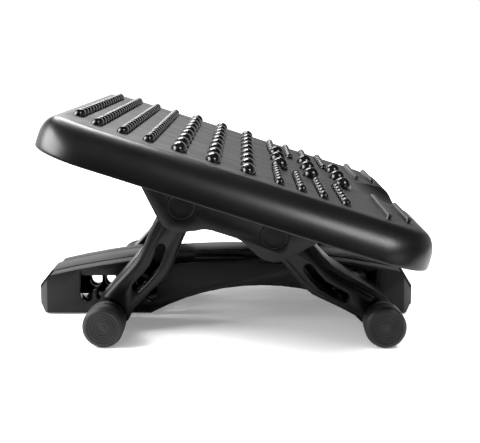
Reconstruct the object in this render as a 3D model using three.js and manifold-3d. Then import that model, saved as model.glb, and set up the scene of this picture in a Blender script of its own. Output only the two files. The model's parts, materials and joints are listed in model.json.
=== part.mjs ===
// Tilting under-desk footrest: an arched base beam, two leg frames that swing on foot rods seated in
// the beam, and a ribbed platform that rocks on both leg frames as the coupler of a four-bar linkage.
// Millimetres, +Z up, +X towards the heels, -Y towards the near side. The origin is on the floor, in
// the middle of the base beam.
import * as THREE from "three";
import * as BufferGeometryUtils from "three/addons/utils/BufferGeometryUtils.js";
import Module from "manifold-3d";

const wasm = await Module();
wasm.setup();

// Clearances
const seat_gap = 0.3;
const running_gap = 0.3;
const merge_gap = 0.0003;
const overrun = 3;

// Base beam
const base_side_end = 195;
const base_half_width = 41;
const base_wall = 4;
const base_side_wall = 5;
const base_bottom = 1.2;
const base_apex = 64;
const base_top_radius = 825;
const base_top_centre = 9;
const base_left_slope_run = 12;
const base_right_slope_run = 11.5;
const base_slope_height = 25.5;
const base_foot_height = 9;
const base_foot_chamfer = 5;
const base_plan_chamfer = 8;
const base_arch_radius = 242.5;
const base_arch_centre = 38.3;
const base_arch_height = 31;
const base_recess_reach = 75;
const base_recess_drop = 8.7;
const base_channel_lip = 2;
const base_cross_wall = 3;
const base_cross_wall_place = 162;
const base_cross_rib = 2;
const base_cross_rib_pitch = 16;
const base_ledge_start = -32;
const base_ledge_end = 19;
const base_ledge_drop = 5;
const base_ledge_depth = 3;
const base_ledge_width = 8;
const pad_boss_radius = 8;
const pad_inset_x = 18.5;
const pad_inset_y = 11.5;
const pad_radius = 7.5;

// Cover strip along the top of the beam
const cover_end = 198.5;
const cover_half_width = 20;
const cover_depth = 2.4;
const cover_proud = 0.6;
const cover_side_gap = 0.8;
const cover_foot = 5;
const cover_screw_places = [-120, -20, 60, 140];
const cover_screw_sink = 1;
const cover_screw_bite = 1.2;
const screw_tip_gap = 0.6;

// Windows and rod notches in the beam's side walls
const notch_pitch = 16.9;
const notch_first = -145.8;
const notch_count = 5;
const notch_in_use = 2;
const tooth_top = 25.2;
const window_lintel = 2.2;
const right_window_start = 120;
const curtain_foot = 39.6;
const curtain_inner = 31;
const curtain_wall = 3;
const comb_inner = 24;
const comb_wall = 3;
const comb_floor = 5;
const comb_floor_wall = 3;

// Foot rods with their hubs and rubber caps
const rod_radius = 6.5;
const rod_height = 19.5;
const right_rod_place = 151.5;
const rod_grip = 10;
const cap_radius = 19.5;
const cap_length = 15;
const cap_rounding = 4;
const cap_dish_radius = 15.2;
const cap_dish_depth = 0.8;
const hub_radius = 19;
const hub_stand_off = 20.7;
const hub_length = 12;
const hub_edge = 1;
const sleeve_radius = 12;

// Leg frames. Along a leg, s runs from the rod to the upper pivot, and w is the outward offset.
const leg_length = 130;
const leg_depth = 20;
const leg_low_radius = 17.5;
const leg_low_offset = -2;
const leg_high_radius = 17;
const leg_high_offset = -0.8;
const leg_outer_shares = [[0.2, 0.63], [0.354, 0.46], [0.477, 0.38], [0.585, 0.47], [0.708, 0.63], [0.862, 0.73]];
const leg_inner_shares = [
  [0.862, -0.94], [0.775, -1.015], [0.68, -1.14], [0.588, -1.275], [0.52, -1.35], [0.464, -1.36],
  [0.4, -1.28], [0.3, -1.13], [0.2, -1], [0.108, -0.9],
];
const arm_stand_off = 9;
const arm_width = 42;
const arm_wall = 3.5;
const arm_web = 4;
const arm_rod_boss = 10.5;
const arm_pivot_boss = 9.5;
const arm_rib_shares = [0.346, 0.654];
const neck_reach = 4;
const left_neck_inset = 1;
const right_neck_inset = 5;
const plate_thickness = 11;
const left_plate_drop = 0.5;
const right_plate_drop = 5;
const plate_rounding = 5;
const plate_end_radius = 26;
const plate_end_centre = -12;
const slot_width = 8.7;
const slot_shares = [[0.283, -0.39], [0.475, -0.575], [0.631, -0.35]];
const peg_shares = [[0.18, -0.25], [0.754, -0.12]];
const peg_radius = 3;
const peg_grip = 7;

// Pivots
const axle_radius = 5;
const axle_end_gap = 0.6;
const drift_steps = 20;
const coupler_length = 94;
const platform_tilt_deg = 17.7;

// Cradles that hang under the platform and carry the pivots
const cheek_outer_gap = 0.7;
const cheek_outer_wall = 8;
const cheek_inner_gap = 0.6;
const cheek_inner_wall = 7;
const cheek_boss_radius = 26;
const cheek_arch_shares = [[0.27, 0.54], [0.37, 0.57], [0.465, 0.627], [0.56, 0.73]];
const cheek_arc_shares = [0.36, 0.51];
const flange_half_length = 105;
const flange_thickness = 4;
const cover_disc_radius = 13.6;
const cover_disc_depth = 2.7;
const stop_start = 64;
const stop_width = 8;
const stop_reach = 12;

// Platform: u runs down the slope to the heels from between the pivots, v is the height above them
const platform_half_width = 225;
const platform_half_length = 182.5;
const platform_shift = -4.5;
const platform_corner = 50;
const platform_top = 56.3;
const platform_widest = 40;
const platform_bottom = 25;
const platform_shoulder = 21;
const platform_side_shoulder = 47;
const platform_tuck = 5;
const platform_wall = 3.2;
const platform_inner_shoulder = 17.5;
const platform_inner_side_shoulder = 49;
const shoulder_shares = [
  [1, 1, 1], [0.96, 0.667, 0.7], [0.9, 0.45, 0.45], [0.571, 0.18, 0.09], [0.286, 0.048, 0.024], [0, 0, 0],
];
const tuck_shares = [[0.5, 0.18], [0.82, 0.56], [1, 1]];
const cavity_shares = [[1, 1, 1], [0.87, 0.79, 0.42], [0.66, 0.56, 0.17], [0.32, 0.18, 0.045]];
const pan_thickness = 3;
const pan_recess = 1.5;
const rib_thickness = 2.5;
const boss_radius = 4;
const boss_grip = 9;
const cradle_screw_offset = 79;

// Heel scoop
const scoop_centre = 190;
const scoop_rise = 25.2;
const scoop_length = 75;
const scoop_width = 84;
const scoop_depth = 41;

// Massage inserts and heel bars
const strip_thickness = 2;
const strip_margin = 2.5;
const strip_end_margin = 1;
const bar_places = [-160.9, -139.9, -116.2, -92.1];
const bar_margins = [78, 54, 54, 54];
const bar_half_width = 4.7;
const bar_height = 6.2;
const bar_groove = 1.1;
const bar_rib_count = 18;
const bead_row_places = [-63.7, -31.6, 1.3];
const bead_row_margin = 67.5;
const bead_count = 8;
const bead_half_width = 7;
const bead_half_length = 12;
const bead_height = 10.8;
const side_rod_places = [31.3, 52.1, 72.7, 93.7];
const side_rod_margin = 65;
const side_rod_gap = 4;
const side_rod_half_width = 3.75;
const side_rod_height = 5;
const side_rod_groove = 0.9;
const side_rod_rib_count = 6;
const big_bead_places = [35.3, 68.8, 104.9];
const big_bead_pitch = 46;
const big_bead_radius = 8;
const big_bead_height = 10;
const dome_shares = [[0.62, 0.8], [1, 0.2]];
const heel_bar_places = [137.8, 158.3];
const heel_bar_margins = [53, 70];
const heel_bar_lengths = [122, 90];
const heel_bar_half_width = 2.8;
const heel_bar_height = 5;
const heel_bar_root = 2.4;

// Screws
const screw_radius = 1.6;
const screw_head_radius = 3.4;
const screw_head = 2.2;

const tilt = THREE.MathUtils.degToRad(platform_tilt_deg);
const quarter_turn = Math.PI / 2;
const half_turn = Math.PI;
const full_turn = Math.PI * 2;
const rod_bore = rod_radius + running_gap;
const axle_bore = axle_radius + running_gap;
const screw_bore = screw_radius + seat_gap;

// Distances from the middle plane, each piece seated against the one inside it
const arm_inner = base_half_width + arm_stand_off;
const arm_outer = arm_inner + arm_width;
const neck_outer = arm_outer + neck_reach;
const plate_outer = neck_outer + seat_gap + plate_thickness;
const peg_tip = neck_outer - peg_grip;
const cheek_inner_face = arm_inner - cheek_inner_gap;
const cheek_inner_back = cheek_inner_face - cheek_inner_wall;
const cheek_outer_back = plate_outer + cheek_outer_gap;
const cheek_outer_face = cheek_outer_back + cheek_outer_wall;
const axle_half_length = cheek_outer_face - cover_disc_depth - seat_gap - axle_end_gap;
const hub_start = plate_outer + hub_stand_off;
const cap_start = hub_start + hub_length;
const cap_end = cap_start + cap_length;
const rod_half_length = cap_start + rod_grip;

// Joining and cutting
function solidOf(geometry) {
  const bare = geometry.index ? geometry.toNonIndexed() : geometry.clone();
  bare.deleteAttribute("normal");
  bare.deleteAttribute("uv");
  const merged = BufferGeometryUtils.mergeVertices(bare, merge_gap);
  return new wasm.Manifold(new wasm.Mesh({
    numProp: 3,
    vertProperties: new Float32Array(merged.attributes.position.array),
    triVerts: new Uint32Array(merged.index.array),
  }));
}

function geometryOf(solid) {
  const mesh = solid.getMesh();
  const geometry = new THREE.BufferGeometry();
  geometry.setAttribute("position", new THREE.BufferAttribute(mesh.vertProperties, 3));
  geometry.setIndex(new THREE.BufferAttribute(mesh.triVerts, 1));
  return geometry;
}

function cut(solid, ...tools) {
  return tools.reduce((rest, tool) => rest.subtract(tool), solid);
}

function join(...solids) {
  return solids.reduce((whole, piece) => whole.add(piece));
}

// Two distances from the middle plane, as a span of Y on the near side (-1) or the far side (1)
function span(sign, inner, outer) {
  return sign < 0 ? [-outer, -inner] : [inner, outer];
}

function shapeOf(points) {
  return new THREE.Shape(points.map(([x, z]) => new THREE.Vector2(x, z)));
}

// An outline drawn in X and Z becomes a prism over a span of Y
function prism(points, [low, high]) {
  const geometry = new THREE.ExtrudeGeometry(shapeOf(points), { depth: high - low, bevelEnabled: false });
  geometry.rotateX(quarter_turn);
  geometry.translate(0, high, 0);
  return solidOf(geometry);
}

function roundedPrism(points, [low, high], rounding) {
  const geometry = new THREE.ExtrudeGeometry(shapeOf(points), {
    depth: high - low - rounding * 2,
    bevelThickness: rounding,
    bevelSize: rounding,
    bevelOffset: -rounding,
    bevelSegments: 2,
  });
  geometry.rotateX(quarter_turn);
  geometry.translate(0, high - rounding, 0);
  return solidOf(geometry);
}

function block([x_low, x_high], [y_low, y_high], [z_low, z_high]) {
  const geometry = new THREE.BoxGeometry(x_high - x_low, y_high - y_low, z_high - z_low);
  geometry.translate((x_low + x_high) / 2, (y_low + y_high) / 2, (z_low + z_high) / 2);
  return solidOf(geometry);
}

function drumAlongY(radius, [low, high], x, z, sides = 16) {
  const geometry = new THREE.CylinderGeometry(radius, radius, high - low, sides);
  geometry.translate(x, (low + high) / 2, z);
  return solidOf(geometry);
}

function drumAlongZ(radius, [low, high], x, y, sides = 8) {
  const geometry = new THREE.CylinderGeometry(radius, radius, high - low, sides);
  geometry.rotateX(quarter_turn);
  geometry.translate(x, y, (low + high) / 2);
  return solidOf(geometry);
}

// A profile of radius and distance from the middle plane, turned about the Y direction
function turned(profile, sign, x, z, sides = 20) {
  const geometry = new THREE.LatheGeometry(profile.map(([r, h]) => new THREE.Vector2(r, h)), sides);
  if (sign < 0) geometry.rotateX(half_turn);
  geometry.translate(x, 0, z);
  return solidOf(geometry);
}

function arc(centre_x, centre_z, radius, from, to, steps) {
  return Array.from({ length: steps + 1 }, (_, step) => {
    const angle = from + (to - from) * step / steps;
    return [centre_x + radius * Math.cos(angle), centre_z + radius * Math.sin(angle)];
  });
}

// The outline of a stroke with round ends along a bent line
function stroke(line, half_width) {
  const points = line.map(([x, z]) => new THREE.Vector2(x, z));
  const headings = points.slice(1).map((point, index) => {
    return Math.atan2(point.y - points[index].y, point.x - points[index].x);
  });
  const first = headings[0];
  const last = headings[headings.length - 1];
  const sideOf = (turn) => points.slice(1, -1).map((point, index) => {
    const heading = (headings[index] + headings[index + 1]) / 2;
    return [point.x + half_width * Math.cos(heading + turn), point.y + half_width * Math.sin(heading + turn)];
  });
  const end = points[points.length - 1];
  return [
    ...arc(points[0].x, points[0].y, half_width, first + quarter_turn, first + quarter_turn + half_turn, 6),
    ...sideOf(-quarter_turn),
    ...arc(end.x, end.y, half_width, last - quarter_turn, last + quarter_turn, 6),
    ...sideOf(quarter_turn).reverse(),
  ];
}

// Rings of equal length from a first point to a last point, each ring anticlockwise seen from the first
function skinOf(rings, first_point, last_point) {
  const count = rings[0].length;
  const positions = [first_point, ...rings.flat(), last_point].flat();
  const final_ring = 1 + (rings.length - 1) * count;
  const index = [];
  for (let i = 0; i < count; i += 1) {
    const next = (i + 1) % count;
    index.push(0, 1 + i, 1 + next);
    for (let ring = 1; ring < final_ring; ring += count) {
      index.push(ring + i, ring + count + i, ring + next);
      index.push(ring + next, ring + count + i, ring + count + next);
    }
    index.push(final_ring + i, final_ring + count, final_ring + next);
  }
  const geometry = new THREE.BufferGeometry();
  geometry.setAttribute("position", new THREE.BufferAttribute(new Float32Array(positions), 3));
  geometry.setIndex(index);
  return solidOf(geometry);
}

// A screw along Z with its head below
function screwUp(x, y, seat, tip) {
  const head = drumAlongZ(screw_head_radius, [seat - seat_gap - screw_head, seat - seat_gap], x, y);
  return join(head, drumAlongZ(screw_radius, [seat - screw_head, tip], x, y));
}

// Materials
function plastic(colour, roughness, metalness = 0) {
  return new THREE.MeshStandardMaterial({ color: colour, roughness, metalness });
}

const satin_black = () => plastic(0x1c1d1f, 0.45);
const matte_black = () => plastic(0x2a2b2d, 0.75);
const gloss_black = () => plastic(0x0c0c0d, 0.2);
const rubber_black = () => plastic(0x232425, 0.8);
const steel_grey = () => plastic(0x8c8e90, 0.35, 1);

function add(parent, name, solid, material) {
  const mesh = new THREE.Mesh(geometryOf(solid), material);
  mesh.name = name;
  parent.add(mesh);
}

const footrest = new THREE.Group();

// Where the linkage stands: both rods, both pivots and the angles of both legs
const left_rod_place = notch_first + notch_pitch * notch_in_use;
const left_rod = new THREE.Vector2(left_rod_place, rod_height);
const right_rod = new THREE.Vector2(right_rod_place, rod_height);
const coupler = new THREE.Vector2(Math.cos(tilt), -Math.sin(tilt)).multiplyScalar(coupler_length);
const rod_gap = right_rod.clone().sub(coupler).sub(left_rod);
const pivot_rise = Math.sqrt(leg_length ** 2 - rod_gap.lengthSq() / 4);
const left_pivot = left_rod.clone().addScaledVector(rod_gap, 1 / 2);
left_pivot.add(new THREE.Vector2(-rod_gap.y, rod_gap.x).setLength(pivot_rise));
const right_pivot = left_pivot.clone().add(coupler);
const left_angle = left_pivot.clone().sub(left_rod).angle();
const right_angle = right_pivot.clone().sub(right_rod).angle();
const leg_swing = left_angle + right_angle - half_turn;
const leg_fold = half_turn - right_angle - tilt;
const pivot_reach = coupler_length / 2;

// How far the right leg's pivot strays from the platform's while both legs swing by equal steps
function pivotDrift(share) {
  const left = left_angle - leg_swing * share;
  const right = right_angle - leg_swing * share;
  const lean = tilt * (1 - share * 2);
  const upper_left = new THREE.Vector2(Math.cos(left), Math.sin(left)).multiplyScalar(leg_length).add(left_rod);
  const upper_right = new THREE.Vector2(Math.cos(right), Math.sin(right)).multiplyScalar(leg_length).add(right_rod);
  const down_slope = new THREE.Vector2(Math.cos(lean), -Math.sin(lean));
  const upright = new THREE.Vector2(Math.sin(lean), Math.cos(lean));
  const reach = upper_right.sub(upper_left);
  return { along: reach.dot(down_slope) - coupler_length, across: reach.dot(upright) };
}

const drifts = Array.from({ length: drift_steps + 1 }, (_, index) => pivotDrift(index / drift_steps));
const drift_low = Math.min(...drifts.map((drift) => drift.along));
const drift_high = Math.max(...drifts.map((drift) => drift.along));
const drift_rise = Math.max(...drifts.map((drift) => Math.abs(drift.across)));

// Base beam. An inset lowers its top line.
function topHeight(x, inset) {
  const reach = x - base_top_centre;
  return base_apex - inset - base_top_radius + Math.sqrt(base_top_radius ** 2 - reach ** 2);
}

function topLine(inset, from, to, steps) {
  return Array.from({ length: steps + 1 }, (_, step) => {
    const x = from + (to - from) * step / steps;
    return [x, topHeight(x, inset)];
  });
}

function crownLine(inset, end) {
  const left = base_left_slope_run - end;
  const right = end - base_right_slope_run;
  return [[-end, base_slope_height - inset / 2], ...topLine(inset, left, right, 14),
    [end, base_slope_height - inset / 2]];
}

function archLine() {
  const centre_z = base_arch_height - base_arch_radius;
  const half_angle = Math.acos((base_bottom - centre_z) / base_arch_radius);
  return arc(base_arch_centre, centre_z, base_arch_radius, quarter_turn - half_angle, quarter_turn + half_angle, 12);
}

function planChamfers() {
  const side = base_half_width + overrun;
  const end = base_side_end + overrun;
  const reach = base_plan_chamfer + overrun * 2;
  const corners = [];
  for (const [sign_x, sign_y] of [[-1, -1], [-1, 1], [1, -1], [1, 1]]) {
    const wedge = new THREE.Shape([
      new THREE.Vector2(sign_x * end, sign_y * side),
      new THREE.Vector2(sign_x * (end - reach), sign_y * side),
      new THREE.Vector2(sign_x * end, sign_y * (side - reach)),
    ]);
    corners.push(solidOf(new THREE.ExtrudeGeometry(wedge, { depth: base_apex, bevelEnabled: false })));
  }
  return corners;
}

function notchPlaces() {
  return Array.from({ length: notch_count }, (_, index) => notch_first + notch_pitch * index);
}

// The foot of a window, with round-bottomed notches between teeth
function combLine(places, start, end) {
  const points = places[0] - rod_bore > start ? [[start, tooth_top]] : [];
  for (const place of places) {
    if (place - rod_bore > start) points.push([place - rod_bore, tooth_top]);
    points.push(...arc(place, rod_height, rod_bore, half_turn, full_turn, 8));
    if (place + rod_bore < end) points.push([place + rod_bore, tooth_top]);
  }
  return points;
}

const comb_start = notch_first - rod_bore;
const comb_end = notch_first + notch_pitch * (notch_count - 1) + rod_bore;

// Windows below the beam's top flange, and the same notches through the inner combs
function windowTools() {
  const comb = combLine(notchPlaces(), comb_start, comb_end);
  const window_end = right_rod_place + rod_bore;
  const left = [...comb, ...topLine(window_lintel, comb_end, comb_start, 4)];
  const right = [...combLine([right_rod_place], right_window_start, window_end),
    ...topLine(window_lintel, window_end, right_window_start, 4)];
  const notches = [...comb, [comb_end, tooth_top + overrun], [comb_start, tooth_top + overrun]];
  return [-1, 1].flatMap((sign) => {
    const outer = span(sign, base_half_width - base_side_wall - seat_gap, base_half_width + overrun);
    const inner = span(sign, comb_inner - seat_gap, comb_inner + comb_wall + seat_gap);
    return [prism(left, outer), prism(right, outer), prism(notches, inner)];
  });
}

function padPlaces() {
  const x = base_side_end - pad_inset_x;
  const y = base_half_width - pad_inset_y;
  return [[-x, -y], [-x, y], [x, -y], [x, y]];
}

const roof_inset = cover_depth + seat_gap + base_wall;
const cover_screw_tip = cover_depth - cover_screw_bite;

// The space inside the beam, open below, with its cross wall, curtains, inner combs with their floor,
// and pad bosses left standing
function beamHollow() {
  const inner_end = base_side_end - cover_depth - seat_gap - base_wall;
  const inner_side = base_half_width - base_side_wall;
  const line = [[inner_end, -overrun], [-inner_end, -overrun], ...crownLine(roof_inset, inner_end)];
  const full_height = [-overrun, base_apex];
  const wall_end = base_cross_wall_place + base_cross_wall;
  const standing = [block([base_cross_wall_place, wall_end], [-base_half_width, base_half_width], full_height)];
  for (let y = 0; y < inner_side; y += base_cross_rib_pitch) {
    for (const sign of y > 0 ? [-1, 1] : [1]) {
      const rib = [sign * y - base_cross_rib / 2, sign * y + base_cross_rib / 2];
      standing.push(block([base_cross_wall_place - base_cross_rib, wall_end], rib, full_height));
    }
  }
  for (const [x, y] of padPlaces()) {
    standing.push(drumAlongZ(pad_boss_radius, full_height, x, y, 12));
  }
  const comb = [comb_start, comb_end];
  standing.push(block(comb, [-base_half_width, base_half_width], [comb_floor, comb_floor + comb_floor_wall]));
  for (const sign of [-1, 1]) {
    standing.push(block(comb, span(sign, curtain_inner, curtain_inner + curtain_wall), [curtain_foot, base_apex]));
    standing.push(block(comb, span(sign, comb_inner, comb_inner + comb_wall), [comb_floor, tooth_top]));
  }
  return cut(prism(line, [-inner_side, inner_side]), ...standing);
}

function coverScrewSeat(x) {
  return topHeight(x, roof_inset) + cover_screw_sink;
}

// Each hole starts in a flat seat for the head on the beam's sloping ceiling
function coverScrewHoles() {
  return cover_screw_places.flatMap((x) => {
    const seat = coverScrewSeat(x);
    const head = drumAlongZ(screw_head_radius + seat_gap, [seat - cover_screw_sink - overrun, seat], x, 0);
    return [head, drumAlongZ(screw_bore, [seat - overrun, topHeight(x, cover_screw_tip - screw_tip_gap)], x, 0)];
  });
}

function channelTool() {
  const end = base_side_end - cover_depth - seat_gap;
  const far = cover_end + overrun;
  const foot = cover_foot - seat_gap;
  const line = [[-end, foot], ...crownLine(cover_depth + seat_gap, end), [end, foot], [far, foot],
    [far, base_apex + overrun], [-far, base_apex + overrun], [-far, foot]];
  const side = cover_half_width + cover_side_gap;
  return prism(line, [-side, side]);
}

function baseBeam() {
  const foot = base_side_end - base_foot_chamfer;
  const outline = [...crownLine(0, base_side_end), [base_side_end, base_foot_height], [foot, base_bottom],
    ...archLine(), [-foot, base_bottom], [-base_side_end, base_foot_height]];
  const body = prism(outline, [-base_half_width, base_half_width]);
  const ridge_side = cover_half_width + cover_side_gap + base_channel_lip;
  const above = base_apex + overrun;
  const reach = base_recess_reach;
  const recess = [...topLine(base_recess_drop, -reach, reach, 6), [reach, above], [-reach, above]];
  const tools = [];
  for (const sign of [-1, 1]) {
    tools.push(prism(recess, span(sign, ridge_side, base_half_width + overrun)));
    const pocket = span(sign, ridge_side + base_channel_lip / 2, base_half_width - base_side_wall);
    tools.push(block([base_channel_lip - reach, reach - base_channel_lip], pocket, [base_arch_height, above]));
  }
  const beam = cut(body, beamHollow(), channelTool(), ...windowTools(), ...planChamfers(), ...tools,
    ...coverScrewHoles());
  const ledge_top = base_apex - base_ledge_drop;
  const ledges = [-1, 1].map((sign) => block([base_ledge_start, base_ledge_end],
    span(sign, ridge_side - base_channel_lip / 2, ridge_side + base_ledge_width),
    [ledge_top - base_ledge_depth, ledge_top]));
  return join(beam, ...ledges);
}

function baseCover() {
  const end = base_side_end - cover_depth;
  const outline = [[-cover_end, cover_foot], ...crownLine(-cover_proud, cover_end), [cover_end, cover_foot],
    [end, cover_foot], ...crownLine(cover_depth, end).reverse(), [-end, cover_foot]];
  return cut(prism(outline, [-cover_half_width, cover_half_width]), ...coverScrewHoles());
}

add(footrest, "base_beam", baseBeam(), satin_black());
add(footrest, "base_cover", baseCover(), satin_black());
padPlaces().forEach(([x, y], index) => {
  const pad = drumAlongZ(pad_radius, [0, base_bottom - seat_gap], x, y, 16);
  add(footrest, `base_pad_${index + 1}`, pad, rubber_black());
});
cover_screw_places.forEach((x, index) => {
  const screw = screwUp(x, 0, coverScrewSeat(x), topHeight(x, cover_screw_tip));
  add(footrest, `cover_screw_${index + 1}`, screw, steel_grey());
});

// Foot rods, hubs with their sleeves, and rubber caps
function footHub(sign, x) {
  const end = cap_start - seat_gap;
  const start = neck_outer + seat_gap;
  const profile = [[rod_bore, start], [sleeve_radius, start], [sleeve_radius, hub_start],
    [hub_radius - hub_edge, hub_start], [hub_radius, hub_start + hub_edge], [hub_radius, end], [rod_bore, end],
    [rod_bore, start]];
  return turned(profile, sign, x, rod_height);
}

function footCap(sign, x) {
  const bore_end = rod_half_length + seat_gap;
  const rim = arc(cap_radius - cap_rounding, cap_end - cap_rounding, cap_rounding, 0, quarter_turn, 3);
  const dish = cap_end - cap_dish_depth;
  const profile = [[0, bore_end], [rod_bore, bore_end], [rod_bore, cap_start], [cap_radius - hub_edge, cap_start],
    [cap_radius, cap_start + hub_edge], ...rim, [cap_dish_radius, dish], [0, dish]];
  return turned(profile, sign, x, rod_height);
}

for (const [side, x] of [["left", left_rod_place], ["right", right_rod_place]]) {
  const rod = drumAlongY(rod_radius, [-rod_half_length, rod_half_length], x, rod_height, 20);
  add(footrest, `${side}_foot_rod`, rod, steel_grey());
  for (const [end, sign] of [["near", -1], ["far", 1]]) {
    add(footrest, `${side}_foot_hub_${end}`, footHub(sign, x), satin_black());
    add(footrest, `${side}_foot_cap_${end}`, footCap(sign, x), rubber_black());
  }
}

// Leg outline in s and w, drawn in by an inset, with its outer edge lowered by a drop. The mirror
// value turns the outward side over for the right leg.
function legLine(inset, drop, mirror) {
  const low = arc(0, leg_low_offset, leg_low_radius - inset, quarter_turn * 3, quarter_turn, 5);
  const high = arc(leg_length, leg_high_offset, leg_high_radius - inset, quarter_turn, -quarter_turn, 5);
  const outer = leg_outer_shares.map(([s, w]) => [leg_length * s, leg_depth * w - inset - drop]);
  const inner = leg_inner_shares.map(([s, w]) => [leg_length * s, leg_depth * w + inset]);
  return [...low, ...outer, ...high, ...inner].map(([s, w]) => [s, w * mirror]);
}

function legPoint([s, w], mirror) {
  return [leg_length * s, leg_depth * w * mirror];
}

// The long slot through a leg's plate and through the arm's web behind it
function slotTool(mirror, depth) {
  return prism(stroke(slot_shares.map((place) => legPoint(place, mirror)), slot_width / 2), depth);
}

function legArm(sign, neck_inset, mirror) {
  const body = prism(legLine(0, 0, mirror), span(sign, arm_inner, arm_outer));
  const neck = prism(legLine(neck_inset, 0, mirror), span(sign, arm_outer - arm_web / 2, neck_outer));
  const floor = span(sign, arm_inner - overrun, arm_outer - arm_web);
  const through = span(sign, arm_inner - overrun, neck_outer + overrun);
  const ribs = arm_rib_shares.map((share) => {
    const middle = leg_length * share;
    const depth = [-leg_depth * 2, leg_depth * 2];
    return block([middle - arm_wall / 2, middle + arm_wall / 2], floor, depth);
  });
  const pocket = cut(prism(legLine(arm_wall, 0, mirror), floor), ...ribs,
    drumAlongY(arm_rod_boss, floor, 0, 0), drumAlongY(arm_pivot_boss, floor, leg_length, 0));
  const peg_holes = peg_shares.map((place) => {
    const [s, w] = legPoint(place, mirror);
    return drumAlongY(peg_radius + seat_gap, through, s, w, 8);
  });
  const slot = slotTool(mirror, span(sign, arm_outer - arm_web - overrun, neck_outer + overrun));
  return cut(join(body, neck), pocket, drumAlongY(rod_bore, through, 0, 0, 20),
    drumAlongY(axle_bore, through, leg_length, 0), slot, ...peg_holes);
}

function legPlate(sign, drop, mirror) {
  const inner = neck_outer + seat_gap;
  const body = roundedPrism(legLine(drop, 0, mirror), span(sign, inner - plate_rounding, plate_outer), plate_rounding);
  const back = block([-leg_length, leg_length * 2], span(sign, inner - plate_rounding * 2, inner),
    [-leg_length, leg_length]);
  const through = span(sign, inner - overrun, plate_outer + overrun);
  const plate = cut(body, back, drumAlongY(plate_end_radius, through, plate_end_centre, 0, 32),
    drumAlongY(axle_bore, through, leg_length, 0), slotTool(mirror, through));
  return join(plate, ...peg_shares.map((place) => {
    const [s, w] = legPoint(place, mirror);
    return drumAlongY(peg_radius, span(sign, peg_tip, inner + peg_radius), s, w, 8);
  }));
}

for (const [side, rod, angle, mirror, neck_inset, plate_drop] of [
  ["left", left_rod, left_angle, 1, left_neck_inset, left_plate_drop],
  ["right", right_rod, right_angle, -1, right_neck_inset, right_plate_drop],
]) {
  const leg = new THREE.Group();
  leg.position.set(rod.x, 0, rod.y);
  leg.rotation.y = -angle;
  footrest.add(leg);
  for (const [end, sign] of [["near", -1], ["far", 1]]) {
    add(leg, `${side}_leg_arm_${end}`, legArm(sign, neck_inset, mirror), satin_black());
    add(leg, `${side}_leg_plate_${end}`, legPlate(sign, plate_drop, mirror), satin_black());
  }
  const axle = drumAlongY(axle_radius, [-axle_half_length, axle_half_length], leg_length, 0);
  add(leg, `${side}_leg_axle`, axle, steel_grey());
}

// Platform
const platform = new THREE.Group();
platform.position.set((left_pivot.x + right_pivot.x) / 2, 0, (left_pivot.y + right_pivot.y) / 2);
platform.rotation.y = tilt;
footrest.add(platform);

const pan_bottom = platform_bottom + pan_recess;
const pan_top = pan_bottom + pan_thickness;
const inner_tuck = platform_tuck + platform_wall;
const ceiling = platform_top - platform_wall;
const strip_top = ceiling - seat_gap;

// A rounded outline at a height, drawn in by one inset along the slope and another across it
function platformRing(inset_u, inset_y, v) {
  const radius_u = platform_corner - inset_u;
  const radius_y = platform_corner - inset_y;
  const corner_u = platform_half_length - platform_corner;
  const corner_y = platform_half_width - platform_corner;
  return [[1, 1], [-1, 1], [-1, -1], [1, -1]].flatMap(([sign_u, sign_y], index) => {
    const start = quarter_turn * index;
    return arc(0, 0, 1, start, start + quarter_turn, 5).map(([u, y]) => {
      return [platform_shift + sign_u * corner_u + radius_u * u, sign_y * corner_y + radius_y * y, v];
    });
  });
}

function platformSkin(profile) {
  const rings = profile.map(([inset_u, inset_y, v]) => platformRing(inset_u, inset_y, v));
  return skinOf(rings, [platform_shift, 0, profile[0][2]], [platform_shift, 0, profile.at(-1)[2]]);
}

function platformBody() {
  const shoulder = shoulder_shares.map(([rise, along, across]) => [
    platform_shoulder * along, platform_side_shoulder * across,
    platform_widest + (platform_top - platform_widest) * rise,
  ]);
  const tuck = tuck_shares.map(([fall, inset]) => [
    platform_tuck * inset, platform_tuck * inset, platform_widest - (platform_widest - platform_bottom) * fall,
  ]);
  return platformSkin([...shoulder, ...tuck]);
}

function scoop(growth) {
  const geometry = new THREE.SphereGeometry(1, 16, 10);
  geometry.scale(scoop_length + growth, scoop_width + growth, scoop_depth + growth);
  geometry.translate(scoop_centre, 0, platform_top + scoop_rise);
  return solidOf(geometry);
}

// The ribs under the shell stand in the middles between neighbouring rows of inserts
const rib_places = [
  [bar_places.at(-1) + bar_half_width, bead_row_places[0] - bead_half_width],
  [bead_row_places.at(-1) + bead_half_width, big_bead_places[0] - big_bead_radius],
  [big_bead_places.at(-1) + big_bead_radius, heel_bar_places[0] - heel_bar_half_width],
].map(([low, high]) => (low + high) / 2);

function cradleScrewPlaces() {
  return rib_places.slice(0, 2).flatMap((u) => [[u, -cradle_screw_offset], [u, cradle_screw_offset]]);
}

// The space inside the shell, with its ribs, screw bosses and the wall round the scoop left standing
function platformHollow() {
  const rise = ceiling - platform_widest;
  const spread_u = platform_inner_shoulder - platform_wall;
  const spread_y = platform_inner_side_shoulder - platform_wall;
  const profile = cavity_shares.map(([v, along, across]) => [
    platform_wall + spread_u * along, platform_wall + spread_y * across, platform_widest + rise * v,
  ]);
  const low = [pan_top + seat_gap, platform_bottom - overrun].map((v) => [inner_tuck, inner_tuck, v]);
  const standing_heights = [pan_top + seat_gap, platform_top];
  const ribs = rib_places.map((u) => block([u - rib_thickness / 2, u + rib_thickness / 2],
    [-platform_half_width, platform_half_width], standing_heights));
  const bosses = cradleScrewPlaces().map(([u, y]) => drumAlongZ(boss_radius, standing_heights, u, y));
  return cut(platformSkin([...profile, ...low]), ...ribs, ...bosses, scoop(platform_wall));
}

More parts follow.
